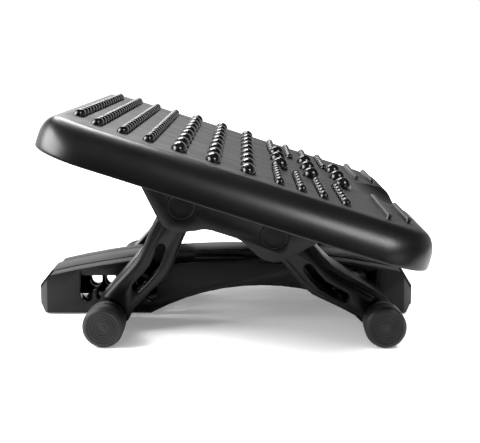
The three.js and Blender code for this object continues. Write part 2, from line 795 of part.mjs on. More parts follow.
// Massage inserts: a strip under the shell's top, with bars or beads that rise through the shell
const insert_foot = strip_top - strip_thickness / 2;
const hole_heights = [ceiling - overrun, platform_top + overrun];

function insertStrip(u, half_width, [low, high]) {
  const reach = half_width + strip_margin;
  return block([u - reach, u + reach], [low - strip_end_margin, high + strip_end_margin],
    [strip_top - strip_thickness, strip_top]);
}

function barSection(u, y, half_width, height, draw) {
  const side = half_width - draw;
  const crest = platform_top + height - draw;
  return [
    [u - half_width, y, insert_foot], [u + half_width, y, insert_foot], [u + side, y, platform_top + height / 2],
    [u, y, crest], [u - side, y, platform_top + height / 2],
  ];
}

function ribbedBar(u, [low, high], half_width, height, groove, rib_count) {
  const pitch = (high - low) / (rib_count * 2);
  const rings = Array.from({ length: rib_count * 2 + 1 }, (_, index) => {
    return barSection(u, low + pitch * index, half_width, height, index % 2 ? 0 : groove);
  });
  return skinOf(rings, [u, low, platform_top], [u, high, platform_top]);
}

function beadRing(u, y, [half_width, half_length], v) {
  return arc(0, 0, 1, 0, full_turn, 8).slice(1).map(([x, z]) => [u + half_width * x, y + half_length * z, v]);
}

function bead(u, y, sizes, height) {
  const rings = dome_shares.map(([width, rise]) => {
    return beadRing(u, y, sizes.map((size) => size * width), platform_top + height * rise);
  });
  rings.push(beadRing(u, y, sizes, insert_foot));
  return skinOf(rings, [u, y, platform_top + height], [u, y, insert_foot]);
}

function beadHole(u, y, sizes) {
  const grown = sizes.map((size) => size + seat_gap);
  const rings = [beadRing(u, y, grown, hole_heights[1]), beadRing(u, y, grown, hole_heights[0])];
  return skinOf(rings, [u, y, hole_heights[1]], [u, y, hole_heights[0]]);
}

function barHole(u, half_width, [low, high]) {
  const reach = half_width + seat_gap;
  return block([u - reach, u + reach], [low - seat_gap, high + seat_gap], hole_heights);
}

const shell_holes = [];

bar_places.forEach((u, index) => {
  const half_length = platform_half_width - bar_margins[index];
  const reach = [-half_length, half_length];
  const bar = ribbedBar(u, reach, bar_half_width, bar_height, bar_groove, bar_rib_count);
  shell_holes.push(barHole(u, bar_half_width, reach));
  add(platform, `ribbed_bar_${index + 1}`, join(insertStrip(u, bar_half_width, reach), bar), gloss_black());
});

const bead_row_reach = platform_half_width - bead_row_margin;

bead_row_places.forEach((u, index) => {
  const sizes = [bead_half_width, bead_half_length];
  const ends = bead_row_reach - bead_half_length;
  const beads = Array.from({ length: bead_count }, (_, order) => {
    const y = ends * (order * 2 / (bead_count - 1) - 1);
    shell_holes.push(beadHole(u, y, sizes));
    return bead(u, y, sizes, bead_height);
  });
  const strip = insertStrip(u, bead_half_width, [-bead_row_reach, bead_row_reach]);
  add(platform, `bead_row_${index + 1}`, join(strip, ...beads), gloss_black());
});

const side_rod_end = platform_half_width - side_rod_margin;
const side_rod_start = big_bead_pitch + big_bead_radius + side_rod_gap;

side_rod_places.forEach((u, index) => {
  for (const [end, sign] of [["near", -1], ["far", 1]]) {
    const reach = span(sign, side_rod_start, side_rod_end);
    const rod = ribbedBar(u, reach, side_rod_half_width, side_rod_height, side_rod_groove, side_rod_rib_count);
    shell_holes.push(barHole(u, side_rod_half_width, reach));
    const strip = insertStrip(u, side_rod_half_width, reach);
    add(platform, `side_rod_${end}_${index + 1}`, join(strip, rod), gloss_black());
  }
});

big_bead_places.forEach((u, index) => {
  const sizes = [big_bead_radius, big_bead_radius];
  const beads = [-1, 0, 1].map((order) => {
    shell_holes.push(beadHole(u, big_bead_pitch * order, sizes));
    return bead(u, big_bead_pitch * order, sizes, big_bead_height);
  });
  const reach = big_bead_pitch + big_bead_radius;
  const strip = insertStrip(u, big_bead_radius, [-reach, reach]);
  add(platform, `big_bead_row_${index + 1}`, join(strip, ...beads), gloss_black());
});

function heelBars() {
  return heel_bar_places.flatMap((u, index) => {
    const end = platform_half_width - heel_bar_margins[index];
    return [-1, 1].map((sign) => block([u - heel_bar_half_width, u + heel_bar_half_width],
      span(sign, end - heel_bar_lengths[index], end), [platform_top - heel_bar_root, platform_top + heel_bar_height]));
  });
}

function panScrewHoles() {
  const heights = [platform_bottom - flange_thickness - overrun, pan_top + seat_gap + boss_grip];
  return cradleScrewPlaces().map(([u, y]) => drumAlongZ(screw_bore, heights, u, y));
}

function platformShell() {
  const body = cut(platformBody(), scoop(0));
  return cut(join(body, ...heelBars()), platformHollow(), ...shell_holes, ...panScrewHoles());
}

function platformPan() {
  const inset = inner_tuck + seat_gap;
  return cut(platformSkin([[inset, inset, pan_top], [inset, inset, pan_bottom]]), ...panScrewHoles());
}

// Cradles: an inner and an outer cheek on each side, joined by a flange under the pan and by two stops
const cradle_top = pan_bottom - seat_gap;
const flange_foot = cradle_top - flange_thickness;

function cheekLine() {
  const [inward_share, outward_share] = cheek_arc_shares;
  const right_arch = cheek_arch_shares.map(([u, v]) => [pivot_reach * u, -cheek_boss_radius * v]);
  const start = half_turn + quarter_turn * (1 - inward_share);
  const end = full_turn - quarter_turn * (1 - outward_share);
  const right_foot = [...right_arch, ...arc(pivot_reach, 0, cheek_boss_radius, start, end, 8)];
  const left_foot = right_foot.map(([u, v]) => [-u, v]).reverse();
  return [[-flange_half_length, cradle_top], [-flange_half_length, flange_foot], ...left_foot, ...right_foot,
    [flange_half_length, flange_foot], [flange_half_length, cradle_top]];
}

// The folded leg, grown by a clearance, that a stop on the left (-1) or the right (1) is shaped to
function foldedLeg(side, [low, high]) {
  const shape = shapeOf(legLine(-seat_gap, 0, -side));
  const geometry = new THREE.ExtrudeGeometry(shape, { depth: high - low, bevelEnabled: false });
  geometry.rotateX(quarter_turn);
  geometry.translate(-leg_length, high, 0);
  geometry.rotateY(side > 0 ? leg_fold - half_turn : -leg_fold);
  geometry.translate(pivot_reach * side, 0, 0);
  return solidOf(geometry);
}

function stop(side, sign) {
  const between = span(sign, cheek_inner_face - seat_gap, cheek_outer_back + seat_gap);
  const near = stop_start * side;
  const far = (stop_start + stop_width) * side;
  const post = block([Math.min(near, far), Math.max(near, far)], between, [-stop_reach, flange_foot + seat_gap]);
  return cut(post, foldedLeg(side, span(sign, arm_inner - overrun, cheek_outer_back + overrun)));
}

function cradle(sign) {
  const through = span(sign, cheek_inner_back - overrun, cheek_outer_face + overrun);
  const recess = span(sign, cheek_outer_face - cover_disc_depth - seat_gap, cheek_outer_face + overrun);
  const flange = block([-flange_half_length, flange_half_length], span(sign, cheek_inner_back, cheek_outer_face),
    [flange_foot, cradle_top]);
  const cheeks = [[cheek_inner_back, cheek_inner_face], [cheek_outer_back, cheek_outer_face]]
    .map((depth) => prism(cheekLine(), span(sign, ...depth)));
  const slot = stroke([[pivot_reach + drift_low, 0], [pivot_reach + drift_high, 0]], axle_bore + drift_rise);
  const seats = [-1, 1].map((side) => {
    return drumAlongY(cover_disc_radius + seat_gap, recess, pivot_reach * side, 0, 28);
  });
  return cut(join(flange, ...cheeks, stop(-1, sign), stop(1, sign)), prism(slot, through),
    drumAlongY(axle_bore, through, -pivot_reach, 0), ...seats, ...panScrewHoles());
}

function coverDisc(side, sign) {
  const depth = span(sign, cheek_outer_face - cover_disc_depth, cheek_outer_face);
  return drumAlongY(cover_disc_radius, depth, pivot_reach * side, 0, 28);
}

add(platform, "platform_shell", platformShell(), matte_black());
add(platform, "platform_pan", platformPan(), satin_black());
cradleScrewPlaces().forEach(([u, y], index) => {
  add(platform, `cradle_screw_${index + 1}`, screwUp(u, y, flange_foot, pan_top + boss_grip), steel_grey());
});
for (const [end, sign] of [["near", -1], ["far", 1]]) {
  add(platform, `cradle_${end}`, cradle(sign), satin_black());
  add(platform, `pivot_cover_left_${end}`, coverDisc(-1, sign), satin_black());
  add(platform, `pivot_cover_right_${end}`, coverDisc(1, sign), satin_black());
}

export default footrest;
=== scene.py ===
import json
import math

import bmesh
import bpy
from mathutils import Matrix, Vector


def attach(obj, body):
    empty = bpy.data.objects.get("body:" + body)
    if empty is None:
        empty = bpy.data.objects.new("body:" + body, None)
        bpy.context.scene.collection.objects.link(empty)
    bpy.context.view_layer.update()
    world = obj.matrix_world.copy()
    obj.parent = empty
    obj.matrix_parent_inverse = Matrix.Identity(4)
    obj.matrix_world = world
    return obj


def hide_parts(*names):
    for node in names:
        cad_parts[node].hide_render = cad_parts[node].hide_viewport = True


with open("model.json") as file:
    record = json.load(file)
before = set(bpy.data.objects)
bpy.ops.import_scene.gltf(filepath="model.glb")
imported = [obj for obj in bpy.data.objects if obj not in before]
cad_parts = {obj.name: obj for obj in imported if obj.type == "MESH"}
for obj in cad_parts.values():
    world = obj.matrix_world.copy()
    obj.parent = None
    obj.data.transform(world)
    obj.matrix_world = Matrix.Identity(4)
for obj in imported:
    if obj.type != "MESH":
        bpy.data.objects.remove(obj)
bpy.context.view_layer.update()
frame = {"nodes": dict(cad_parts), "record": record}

# The tables are in millimetres. Points of the frame and of the studio are in metres.
mm = 0.001

# Where the linkage stands at rest: rods and upper pivots as x and z, the lean of the legs and of the platform
leg_rods = {"left": (-112.0, 19.5), "right": (151.5, 19.5)}
upper_pivots = {"left": (-40.517, 128.083), "right": (49.033, 99.503)}
leg_angles = {"left": math.radians(56.642), "right": math.radians(142.018)}
leg_mirrors = {"left": 1, "right": -1}
leg_length = 130.0
leg_depth = 20.0
tilt = math.radians(17.7)
platform_middle = (4.258, 113.793)


def on_platform(u, y, v):
    """A place on the platform, down the slope, across and above the pivots, as a point of the frame in metres."""
    x = platform_middle[0] + u * math.cos(tilt) + v * math.sin(tilt)
    z = platform_middle[1] - u * math.sin(tilt) + v * math.cos(tilt)
    return Vector((x, y, z)) * mm


def on_leg(side, s, w, y):
    """A place on a leg, along it and outwards from it, as a point of the frame in metres."""
    angle, (rod_x, rod_z), out = leg_angles[side], leg_rods[side], w * leg_mirrors[side]
    x = rod_x + s * math.cos(angle) - out * math.sin(angle)
    z = rod_z + s * math.sin(angle) + out * math.cos(angle)
    return Vector((x, y, z)) * mm


# Modelling steps that the pieces share


def set_down():
    """Leaves edit mode with nothing selected."""
    if bpy.context.object and bpy.context.object.mode != "OBJECT":
        bpy.ops.object.mode_set(mode="OBJECT")
    bpy.ops.object.select_all(action="DESELECT")


def pick_up(piece):
    """Selects one piece alone."""
    set_down()
    piece.select_set(True)
    bpy.context.view_layer.objects.active = piece


def rename(piece, name):
    piece.name = name
    piece.data.name = name
    return piece


def face_outwards(piece):
    pick_up(piece)
    bpy.ops.object.mode_set(mode="EDIT")
    bpy.ops.mesh.select_all(action="SELECT")
    bpy.ops.mesh.normals_make_consistent(inside=False)
    bpy.ops.object.mode_set(mode="OBJECT")
    return piece


def lofted(name, rings):
    """A closed form: a filled circle is laid on the first ring and extruded from ring to ring."""
    set_down()
    bpy.ops.mesh.primitive_circle_add(vertices=len(rings[0]), radius=1, fill_type="NGON", location=(0, 0, 0))
    piece = rename(bpy.context.object, name)
    for vertex, place in zip(piece.data.vertices, rings[0]):
        vertex.co = place
    bpy.ops.object.mode_set(mode="EDIT")
    bpy.ops.mesh.select_all(action="SELECT")
    for before, after in zip(rings, rings[1:]):
        bpy.ops.mesh.extrude_region_move()
        form = bmesh.from_edit_mesh(piece.data)
        for vertex in [v for v in form.verts if v.select]:
            nearest = min(range(len(before)), key=lambda i: (before[i] - vertex.co).length_squared)
            vertex.co = after[nearest]
        bmesh.update_edit_mesh(piece.data)
    bpy.ops.object.mode_set(mode="OBJECT")
    return face_outwards(piece)


def finished_with(piece, kind, **settings):
    """Adds a modifier and applies it."""
    pick_up(piece)
    modifier = piece.modifiers.new(kind.title(), kind)
    for key, value in settings.items():
        setattr(modifier, key, value)
    bpy.ops.object.modifier_apply(modifier=modifier.name)
    return piece


def softened(piece, width, segments, angle):
    """Rounds the edges that turn by more than an angle."""
    return finished_with(piece, "BEVEL", width=width * mm, segments=segments, limit_method="ANGLE",
                         angle_limit=math.radians(angle), use_clamp_overlap=True, miter_outer="MITER_ARC")


def carved(piece, *tools, operation="DIFFERENCE"):
    """Cuts each tool out of a piece, or joins it on, and clears the tool away."""
    for tool in tools:
        finished_with(piece, "BOOLEAN", operation=operation, solver="EXACT", object=tool)
        bpy.data.objects.remove(tool)
    return piece


def smoothed(piece, angle=32):
    """Shades a piece smooth, but for the edges that turn by more than an angle."""
    pick_up(piece)
    bpy.ops.object.shade_smooth_by_angle(angle=math.radians(angle))
    set_down()
    return piece


def joined(name, pieces):
    set_down()
    for piece in pieces:
        piece.select_set(True)
    bpy.context.view_layer.objects.active = pieces[0]
    if len(pieces) > 1:
        bpy.ops.object.join()
    return rename(bpy.context.object, name)


def copied(piece, name, shift=(0, 0, 0), mirrored=False):
    """A copy with its own mesh, shifted, or turned over to the far side of the middle plane."""
    twin = piece.copy()
    twin.data = piece.data.copy()
    bpy.context.scene.collection.objects.link(twin)
    rename(twin, name)
    for vertex in twin.data.vertices:
        vertex.co += Vector(shift)
        if mirrored:
            vertex.co.y = -vertex.co.y
    return face_outwards(twin) if mirrored else twin


def node_copy(node, name, width, segments, angle):
    """A copy of a CAD solid with its triangles joined into faces and its edges rounded."""
    original = frame["nodes"][node]
    piece = original.copy()
    piece.data = original.data.copy()
    bpy.context.scene.collection.objects.link(piece)
    piece.parent = None
    for key in list(piece.keys()):
        del piece[key]
    rename(piece, name)
    pick_up(piece)
    bpy.ops.object.mode_set(mode="EDIT")
    bpy.ops.mesh.select_all(action="SELECT")
    bpy.ops.mesh.remove_doubles(threshold=0.01 * mm)
    bpy.ops.mesh.dissolve_limited(angle_limit=math.radians(0.3))
    bpy.ops.object.mode_set(mode="OBJECT")
    return smoothed(softened(piece, width, segments, angle))


def drum(name, x, z, stations, sides=64):
    """A round form along Y: each station gives its distance from the middle plane and its radius."""
    turns = [2 * math.pi * i / sides for i in range(sides)]
    return lofted(name, [[Vector((x + radius * math.cos(a), y, z + radius * math.sin(a))) * mm for a in turns]
                         for y, radius in stations])


def rounded_line(points, steps):
    """A closed line through all points with smooth turns between them."""
    count = len(points)
    line = []
    for i in range(count):
        a, b, c, d = (Vector(points[(i + k) % count]) for k in (-1, 0, 1, 2))
        for step in range(steps):
            t = step / steps
            bend = (2 * a - 5 * b + 4 * c - d) * t * t
            twist = (3 * b - a - 3 * c + d) * t ** 3
            line.append(0.5 * (2 * b + (c - a) * t + bend + twist))
    return line


def arc(x, z, radius, start, end, steps):
    """Points on an arc, with its angles in degrees."""
    turns = [math.radians(start + (end - start) * i / steps) for i in range(steps + 1)]
    return [(x + radius * math.cos(a), z + radius * math.sin(a)) for a in turns]


# Finishes. A field is one value over a surface, and sums of fields add Math nodes.


class Field:
    def __init__(self, tree, socket):
        self.tree = tree
        self.socket = socket

    def with_math(self, operation, *values, clamp=False):
        node = self.tree.nodes.new("ShaderNodeMath")
        node.operation = operation
        node.use_clamp = clamp
        for place, value in enumerate(values):
            if isinstance(value, Field):
                self.tree.links.new(value.socket, node.inputs[place])
            else:
                node.inputs[place].default_value = value
        return Field(self.tree, node.outputs[0])

    def __add__(self, other):
        return self.with_math("ADD", self, other)

    def __sub__(self, other):
        return self.with_math("SUBTRACT", self, other)

    def __rsub__(self, other):
        return self.with_math("SUBTRACT", other, self)

    def __mul__(self, other):
        return self.with_math("MULTIPLY", self, other)

    __radd__ = __add__
    __rmul__ = __mul__

    def clamped(self):
        return self.with_math("ADD", self, 0.0, clamp=True)

    def raised_over(self, low, high):
        """0 below low, 1 above high and smooth between them."""
        node = self.tree.nodes.new("ShaderNodeMapRange")
        node.interpolation_type = "SMOOTHSTEP"
        self.tree.links.new(self.socket, node.inputs["Value"])
        node.inputs["From Min"].default_value = low
        node.inputs["From Max"].default_value = high
        return Field(self.tree, node.outputs[0])


class Pattern:
    """A node tree and the few steps that its pattern is built from."""

    def __init__(self, tree):
        self.tree = tree

    def node(self, kind, output=0, settings=None, **inputs):
        """A new node with its settings and its inputs, as the field that one of its outputs gives."""
        made = self.tree.nodes.new(kind)
        for key, value in (settings or {}).items():
            setattr(made, key, value)
        for key, value in inputs.items():
            socket = made.inputs[key.replace("_", " ")]
            if isinstance(value, Field):
                self.tree.links.new(value.socket, socket)
            else:
                socket.default_value = value
        return Field(self.tree, made.outputs[output])

    def axes(self, place):
        """The X, Y and Z of a place or of a direction, as three fields."""
        return [self.node("ShaderNodeSeparateXYZ", axis, Vector=place) for axis in "XYZ"]

    def mixed(self, share, dark, light):
        """A colour between two others."""
        mix = self.tree.nodes.new("ShaderNodeMix")
        mix.data_type = "RGBA"
        self.tree.links.new(share.socket, mix.inputs["Factor"])
        mix.inputs[6].default_value = (*dark, 1)
        mix.inputs[7].default_value = (*light, 1)
        return Field(self.tree, mix.outputs[2])

    def seen_rays(self):
        """Two fields: 1 for the rays from the camera or through glass, and 1 for those off a glossy surface."""
        camera, glass, glossy = (self.node("ShaderNodeLightPath", f"Is {ray} Ray")
                                 for ray in ("Camera", "Transmission", "Glossy"))
        return (camera + glass).clamped(), glossy


class Finish(Pattern):
    """A material with one Principled shader. Numbers that are the same all over go straight on its sockets."""

    def __init__(self, name, **constants):
        self.material = bpy.data.materials.new(name)
        self.material.use_nodes = True
        super().__init__(self.material.node_tree)
        self.shader = self.tree.nodes["Principled BSDF"]
        for key, value in constants.items():
            self.shader.inputs[key.replace("_", " ")].default_value = value
        self.place = self.node("ShaderNodeTexCoord", "Object")

    def stretched(self, scale, turn=0.0):
        """Object coordinates turned about Y and scaled, for patterns that follow the slope."""
        return self.node("ShaderNodeMapping", Vector=self.place, Rotation=(0, turn, 0), Scale=scale)

    def noise(self, scale, detail=2.0, roughness=0.5, vector=None):
        return self.node("ShaderNodeTexNoise", Vector=vector or self.place, Scale=scale, Detail=detail,
                         Roughness=roughness)

    def cells(self, scale):
        return self.node("ShaderNodeTexVoronoi", "Distance", Vector=self.place, Scale=scale)

    def set(self, name, field):
        self.tree.links.new(field.socket, self.shader.inputs[name])

    def colour(self, share, dark, light):
        self.set("Base Color", self.mixed(share, dark, light))

    def relief(self, height, distance, strength):
        bump = self.node("ShaderNodeBump", "Normal", Height=height, Distance=distance, Strength=strength)
        self.set("Normal", bump)


def satin_finish(name, dark, light, roughness, grain, reflection):
    """Moulded plastic with a spark-eroded grain, faint flow clouds and rubbed spots."""
    finish = Finish(name, Specular_IOR_Level=reflection)
    clouds = finish.noise(22.0, 3.0)
    fine = finish.noise(grain, 2.0, 0.6)
    specks = finish.noise(grain * 0.35, 2.0)
    finish.colour((clouds * 0.6 + fine * 0.4).clamped(), dark, light)
    finish.set("Roughness", roughness + (clouds - 0.5) * 0.12 + (specks - 0.5) * 0.1)
    finish.relief(fine * 0.7 + specks * 0.3, 0.09 * mm, 0.55)
    return finish.material


def tread_finish():
    """The platform's tread: matt grain with fine lines and rubbed streaks that run down the slope."""
    finish = Finish("tread_grain", Specular_IOR_Level=0.5)
    lines = finish.noise(1.0, 2.0, 0.5, finish.stretched((9.0, 620.0, 60.0), tilt))
    streaks = finish.noise(1.0, 2.0, 0.6, finish.stretched((6.0, 110.0, 30.0), tilt)).raised_over(0.4, 0.75)
    grain = finish.cells(950.0)
    clouds = finish.noise(14.0, 3.0)
    share = (lines * 0.45 + clouds * 0.35 + grain * 0.3).clamped()
    finish.colour(share, (0.006, 0.006, 0.0063), (0.024, 0.0242, 0.025))
    finish.set("Roughness", 0.5 + (lines - 0.5) * 0.2 + (clouds - 0.5) * 0.1 + streaks * 0.14)
    finish.relief(lines * 0.65 + grain * 0.35, 0.16 * mm, 0.6)
    return finish.material


def polished_finish():
    """Polished plastic of the inserts, with faint handling marks."""
    finish = Finish("polished_inserts", Specular_IOR_Level=0.45, Coat_Weight=0.06, Coat_Roughness=0.1)
    marks = finish.noise(160.0, 3.0, 0.6)
    clouds = finish.noise(30.0)
    finish.colour(clouds, (0.002, 0.002, 0.0021), (0.005, 0.005, 0.0053))
    finish.set("Roughness", 0.2 + (marks - 0.5) * 0.12)
    finish.relief(marks, 0.04 * mm, 0.3)
    return finish.material


def rubber_finish():
    """Dull rubber with a fine grain, lighter where dust clings to it."""
    finish = Finish("cap_rubber", Specular_IOR_Level=0.4)
    fine = finish.noise(1300.0, 2.0, 0.6)
    dust = finish.noise(55.0, 4.0, 0.6).raised_over(0.45, 0.8)
    finish.colour((dust * 0.7 + fine * 0.3).clamped(), (0.005, 0.005, 0.0053), (0.016, 0.016, 0.0165))
    finish.set("Roughness", 0.5 + dust * 0.18)
    finish.relief(fine, 0.08 * mm, 0.5)
    return finish.material


def steel_finish():
    """Drawn steel with fine lines along Y."""
    finish = Finish("drawn_steel", Metallic=1.0)
    lines = finish.noise(1.0, 3.0, 0.6, finish.stretched((900.0, 18.0, 900.0)))
    stain = finish.noise(70.0, 3.0)
    finish.colour((lines * 0.6 + stain * 0.4).clamped(), (0.34, 0.34, 0.35), (0.56, 0.56, 0.57))
    finish.set("Roughness", 0.26 + lines * 0.16)
    finish.relief(lines, 0.03 * mm, 0.4)
    return finish.material


finishes = {
    "satin_black": satin_finish("satin_plastic", dark=(0.0012, 0.0012, 0.0013), light=(0.004, 0.004, 0.0043),
                                roughness=0.38, grain=1500.0, reflection=0.24),
    "matte_black": satin_finish("shell_plastic", dark=(0.0014, 0.0014, 0.0015), light=(0.0046, 0.0046, 0.005),
                                roughness=0.34, grain=1300.0, reflection=0.38),
    "gloss_black": polished_finish(),
    "rubber_black": rubber_finish(),
    "steel_grey": steel_finish(),
}
tread = tread_finish()


def dressed(piece, finish):
    piece.data.materials.clear()
    piece.data.materials.append(finishes[finish])
    return piece


def placed(piece, body, finish, *nodes):
    """Gives a finished piece its finish and its body, and hides the CAD nodes that it stands for."""
    dressed(piece, finish)
    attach(piece, body)
    if nodes:
        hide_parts(*nodes)
    return piece


for entry in frame["record"]["subparts"]:
    dressed(frame["nodes"][entry["node"]], entry["material_slot"])

# Platform shell, in the platform's own directions: half sizes down the slope and across, and the shift down the
# slope. The rings give the height above the pivots, and the insets down the slope and across.
shell_half = (182.4, 225.0)
shell_shift = -2.7
hollow_half = (182.5, 225.0)
hollow_shift = -4.5
shell_corner = 50.0
tread_height = 56.3
shell_rings = [
    (56.3, 21, 37.4), (56.16, 17.5, 34.1), (55.72, 14, 30.8), (54.9, 10.3, 27.2), (54.0, 8.3, 24.4),
    (52.7, 6.8, 21.3), (51.2, 5.2, 18.4), (49.4, 3.9, 15.6), (47.4, 2.7, 13.0), (45.2, 1.7, 10.5),
    (42.7, 0.9, 8.3), (40.1, 0.4, 6.3), (37.3, 0.1, 4.5), (34.4, 0, 3.0), (31.3, 0, 1.7), (28.1, 0, 0.7),
    (26.2, 0.1, 0.35), (25.3, 0.5, 0.7), (25.0, 1.1, 1.2),
]
hollow_rings = [
    (53.0, 17.5, 37.0), (52.8, 16.5, 31.3), (51.2, 14.3, 25.4), (48.6, 11.2, 19.9), (45.1, 9.0, 14.9),
    (40.8, 8.3, 10.8), (35.8, 8.2, 8.6), (30.0, 8.2, 8.2), (20.0, 8.2, 8.2),
]

# The heel scoop: its middle down the slope and above the pivots, and its reach down the slope, across and down.
# The hollow under it keeps clear of the same form made larger.
scoop_middle = (190.0, 81.5)
scoop_reach = (88.0, 100.0, 41.0)
scoop_lining = 1.06

# Faces above this height and more level than this get the tread's finish. The flat ones aren't shaded smooth.
tread_low = 53
tread_level = 0.99
tread_flat = 0.9999

# Inserts: places down the slope, reaches across, and sizes. Each stands in a hole that is a little wider.
bar_places = [-160.9, -139.9, -116.2, -92.1]
short_bar_reach, long_bar_reach = 147, 171
short_bar_ribs, long_bar_ribs = 17, 20
bar_half_width, bar_height, bar_groove = 5.2, 6.03, 3.0
bead_row_places = [-63.7, -31.6, 1.3]
bead_half_width, bead_half_length, bead_height = 7.5, 12.0, 8.2
bead_count, bead_pitch = 9, 40.5
side_rod_places = [31.3, 52.1, 72.7, 93.7]
side_rod_span = (67, 178)
side_rod_half_width, side_rod_height, side_rod_groove = 4.4, 5.4, 2.5
side_rod_ribs = 6
big_bead_places = [35.3, 68.8, 102.4]
big_bead_pitch, big_bead_radius, big_bead_height = 54.0, 8.8, 10.8
heel_bars = [(132.6, 66, 182), (153.2, 80, 168)]
heel_bar_half_width, heel_bar_height = 2.8, 5.0
insert_foot = -3.2
hole_gap = 0.35
hole_low, hole_high = 45, 62

# A rib's section: shares of the pitch, and of the groove's depth. An insert's domed end: shares of its length.
rib_shares = [(0.0, 1), (0.13, 1), (0.2, 0.5), (0.29, 0.15), (0.41, 0), (0.59, 0), (0.71, 0.15), (0.8, 0.5),
              (0.87, 1)]
end_shares = (0.02, 0.18, 0.42, 0.72)
dome_rises = (0, 10, 20, 30, 40, 50, 60, 70, 78, 85)


def shell_outline(half, shift, inset_u, inset_y, v, steps):
    """The platform's outline at one height, with round corners."""
    ring = []
    for corner, (sign_u, sign_y) in enumerate([(1, 1), (-1, 1), (-1, -1), (1, -1)]):
        for u, y in arc(0, 0, 1, 90 * corner, 90 * corner + 90, steps):
            along = shift + sign_u * (half[0] - shell_corner) + (shell_corner - inset_u) * u
            across = sign_y * (half[1] - shell_corner) + (shell_corner - inset_y) * y
            ring.append(on_platform(along, across, v))
    return ring


def shell_form(name, half, shift, rows, steps):
    return lofted(name, [shell_outline(half, shift, along, across, v, steps) for v, along, across in rows])


def scoop_form():
    """The egg-shaped hollow for the heels."""
    set_down()
    bpy.ops.mesh.primitive_uv_sphere_add(segments=64, ring_count=40, radius=1, location=(0, 0, 0))
    piece = rename(bpy.context.object, "scoop_form")
    for vertex in piece.data.vertices:
        x, y, z = vertex.co
        vertex.co = on_platform(scoop_middle[0] + scoop_reach[0] * x, scoop_reach[1] * y,
                                scoop_middle[1] + scoop_reach[2] * z)
    return face_outwards(piece)


def long_outline(u, low, high, half_width, steps=8):
    """A slot-shaped outline along Y."""
    return (arc(u, high - half_width, half_width, 0, 180, steps)
            + arc(u, low + half_width, half_width, 180, 360, steps))


def oval_outline(u, y, half_width, half_length, steps=24):
    return [(u + half_width * a, y + half_length * b) for a, b in arc(0, 0, 1, 0, 360, steps)[:-1]]


def insert_holes():
    """One cutter for all holes of the inserts, a little wider than they are."""
    outlines = []
    for i, u in enumerate(bar_places):
        reach = (long_bar_reach if i else short_bar_reach) + hole_gap
        outlines.append(long_outline(u, -reach, reach, bar_half_width + hole_gap))
    for u in bead_row_places:
        for order in range(bead_count):
            y = bead_pitch * (order - (bead_count - 1) / 2)
            outlines.append(oval_outline(u, y, bead_half_width + hole_gap, bead_half_length + hole_gap))
    for u in side_rod_places:
        for sign in (-1, 1):
            low, high = sorted(sign * y for y in side_rod_span)
            outlines.append(long_outline(u, low - hole_gap, high + hole_gap, side_rod_half_width + hole_gap))
    for u in big_bead_places:
        for order in (-1, 0, 1):
            radius = big_bead_radius + hole_gap
            outlines.append(oval_outline(u, big_bead_pitch * order, radius, radius))
    return joined("insert_holes", [lofted("hole", [[on_platform(u, y, v) for u, y in outline]
                                                   for v in (hole_low, hole_high)]) for outline in outlines])


def heel_bar_forms():
    """The plain bars beside the scoop: blocks with rounded tops and ends."""
    top = tread_height + heel_bar_height
    forms = []
    for u, low, high in heel_bars:
        outline = long_outline(u, low, high, heel_bar_half_width, 6)
        middle = Vector((u, (low + high) / 2))
        half_length = (high - low) / 2
        rings = []
        for v, inset in ((54, 0), (top - 1.8, 0), (top - 0.8, 0.35), (top - 0.2, 1.0), (top, 1.9)):
            shares = ((heel_bar_half_width - inset) / heel_bar_half_width, (half_length - inset) / half_length)
            rings.append([on_platform(middle.x + (a - middle.x) * shares[0],
                                      middle.y + (b - middle.y) * shares[1], v) for a, b in outline])
        form = lofted("heel_bar", rings)
        forms += [form, copied(form, "heel_bar_far", mirrored=True)]
    return joined("heel_bars", forms)


def make_shell():
    """The tread shell: hollow below, scooped for the heels and pierced for the inserts."""
    shell = shell_form("platform_tread_shell", shell_half, shell_shift, shell_rings, 16)
    carved(shell, scoop_form())
    carved(shell, heel_bar_forms(), operation="UNION")
    inner = shell_form("shell_hollow", hollow_half, hollow_shift, hollow_rings, 8)
    lining = scoop_form()
    for vertex in lining.data.vertices:
        middle = on_platform(scoop_middle[0], 0, scoop_middle[1])
        vertex.co = middle + (vertex.co - middle) * scoop_lining
    carved(inner, lining)
    carved(shell, inner, insert_holes())
    softened(shell, 0.5, 2, 40)
    placed(shell, "platform", "matte_black", "platform_shell")
    shell.data.materials.append(tread)
    pivots = on_platform(0, 0, 0)
    up = (on_platform(0, 0, 1) - pivots).normalized()
    for face in shell.data.polygons:
        if face.normal.dot(up) > tread_level and (face.center - pivots).dot(up) / mm > tread_low:
            face.material_index = 1
    smoothed(shell, 34)
    for face in shell.data.polygons:
        if face.material_index == 1 and face.normal.dot(up) > tread_flat:
            face.use_smooth = False


def half_round(u, y, half_width, height, draw, steps=10):
    """A section across an insert: a half-round top on straight sides that go down into the shell."""
    side, rise, foot = half_width - draw, height - draw, tread_height + insert_foot
    turns = [math.radians(180 * i / steps) for i in range(steps + 1)]
    top = [(u + side * math.cos(a), tread_height + rise * math.sin(a)) for a in turns]
    return [on_platform(a, y, v) for a, v in [*top, (u - side, foot), (u + side, foot)]]


def ribbed_insert(name, u, low, high, half_width, height, ribs, groove):
    """A half-round bar with round ribs and domed ends."""
    def section(y, draw):
        return half_round(u, y, half_width, height, draw)

    ends = [(share, half_width * (1 - math.sqrt(1 - (1 - share) ** 2))) for share in end_shares]
    pitch = (high - low - half_width * 2) / ribs
    rings = [section(low + half_width * share, draw) for share, draw in ends]
    for rib in range(ribs):
        rings += [section(low + half_width + pitch * (rib + share), groove * depth) for share, depth in rib_shares]
    rings.append(section(high - half_width, groove))
    rings += [section(high - half_width * share, draw) for share, draw in reversed(ends)]
    return smoothed(lofted(name, rings), 50)


